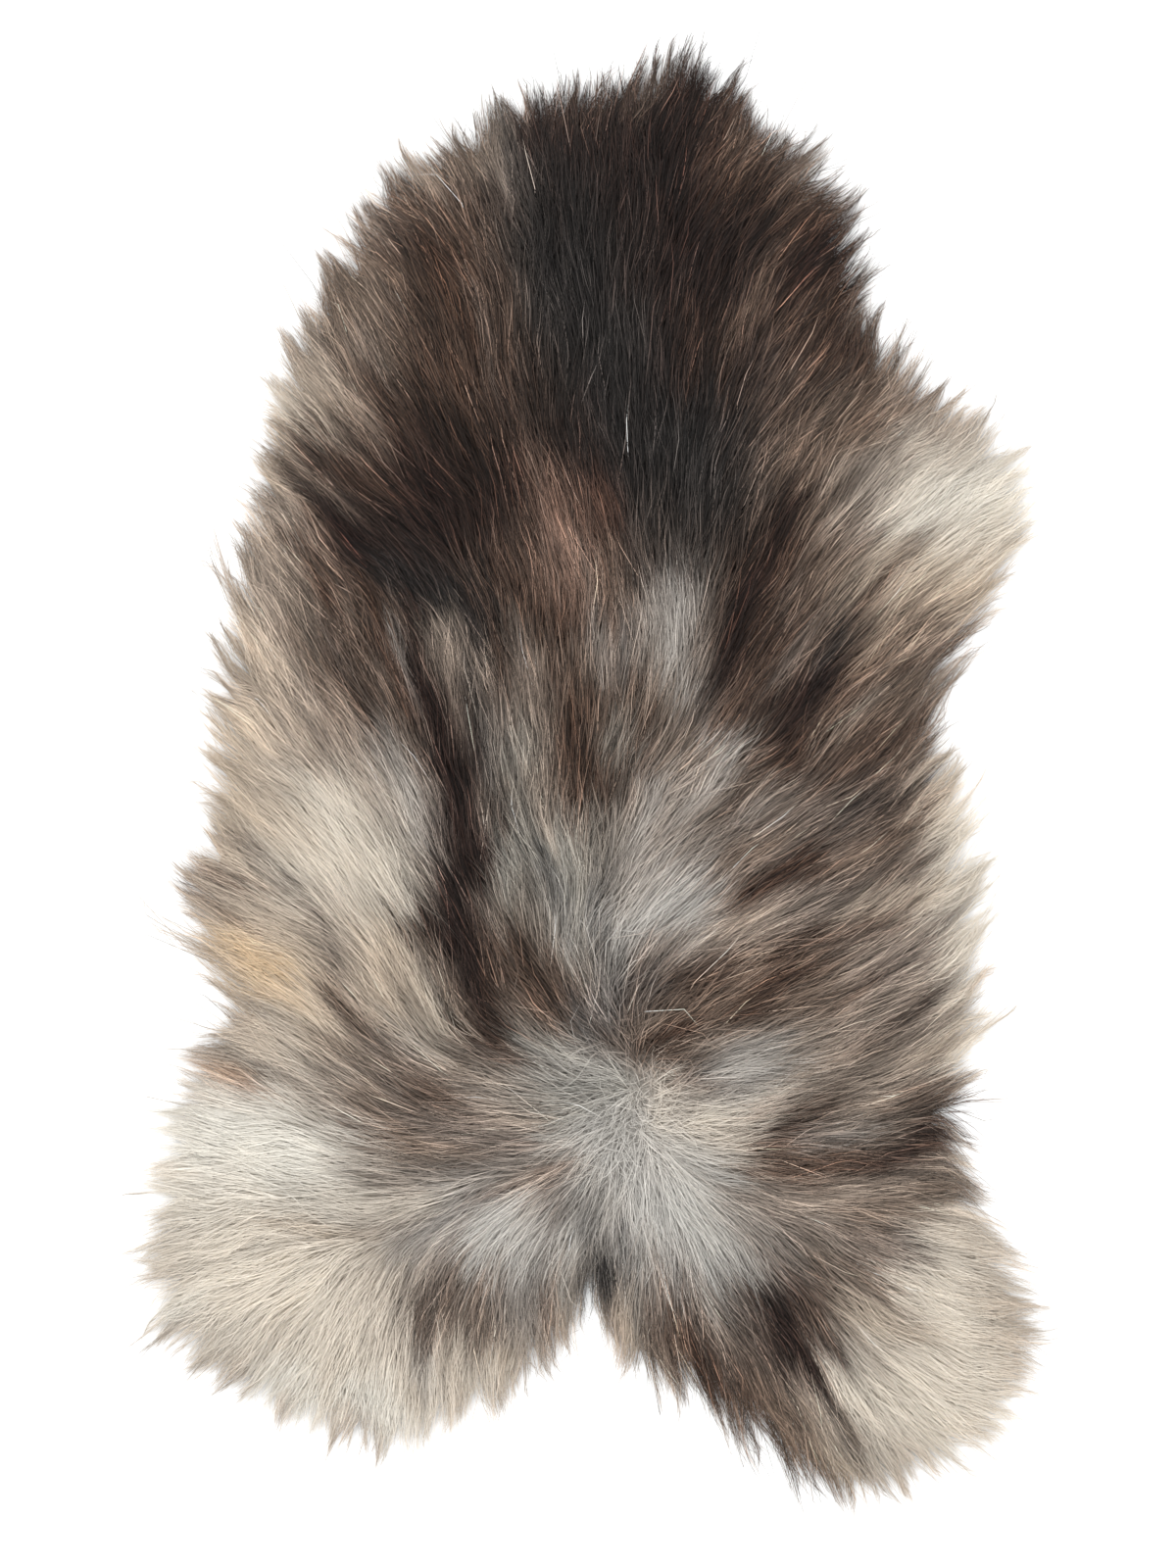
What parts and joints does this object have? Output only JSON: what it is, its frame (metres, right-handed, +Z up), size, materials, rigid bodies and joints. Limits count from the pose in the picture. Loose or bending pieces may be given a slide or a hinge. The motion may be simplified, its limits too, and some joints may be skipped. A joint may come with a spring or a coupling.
{
  "type": "icelandic sheepskin",
  "caption": "Whole long-haired sheepskin lying flat, hair side up, with a narrow neck, two hind lobes and long locks around its rim.",
  "frame": {"origin": "middle of the whole skin's outline, on the surface that the skin lies on", "axes": "+X towards the side that is on the right in the picture, +Y from the hind legs towards the neck, +Z up, out of the wool"},
  "size_m": [0.709, 1.134, 0.0638],
  "materials": {
    "wool": "long combed wool, soot brown over the neck and back, silver grey at the rump and cream on the flanks",
    "leather": "undyed tanned skin, sueded"
  },
  "bodies": {
    "root": {"pelt": "wool"}
  },
  "joints": []
}
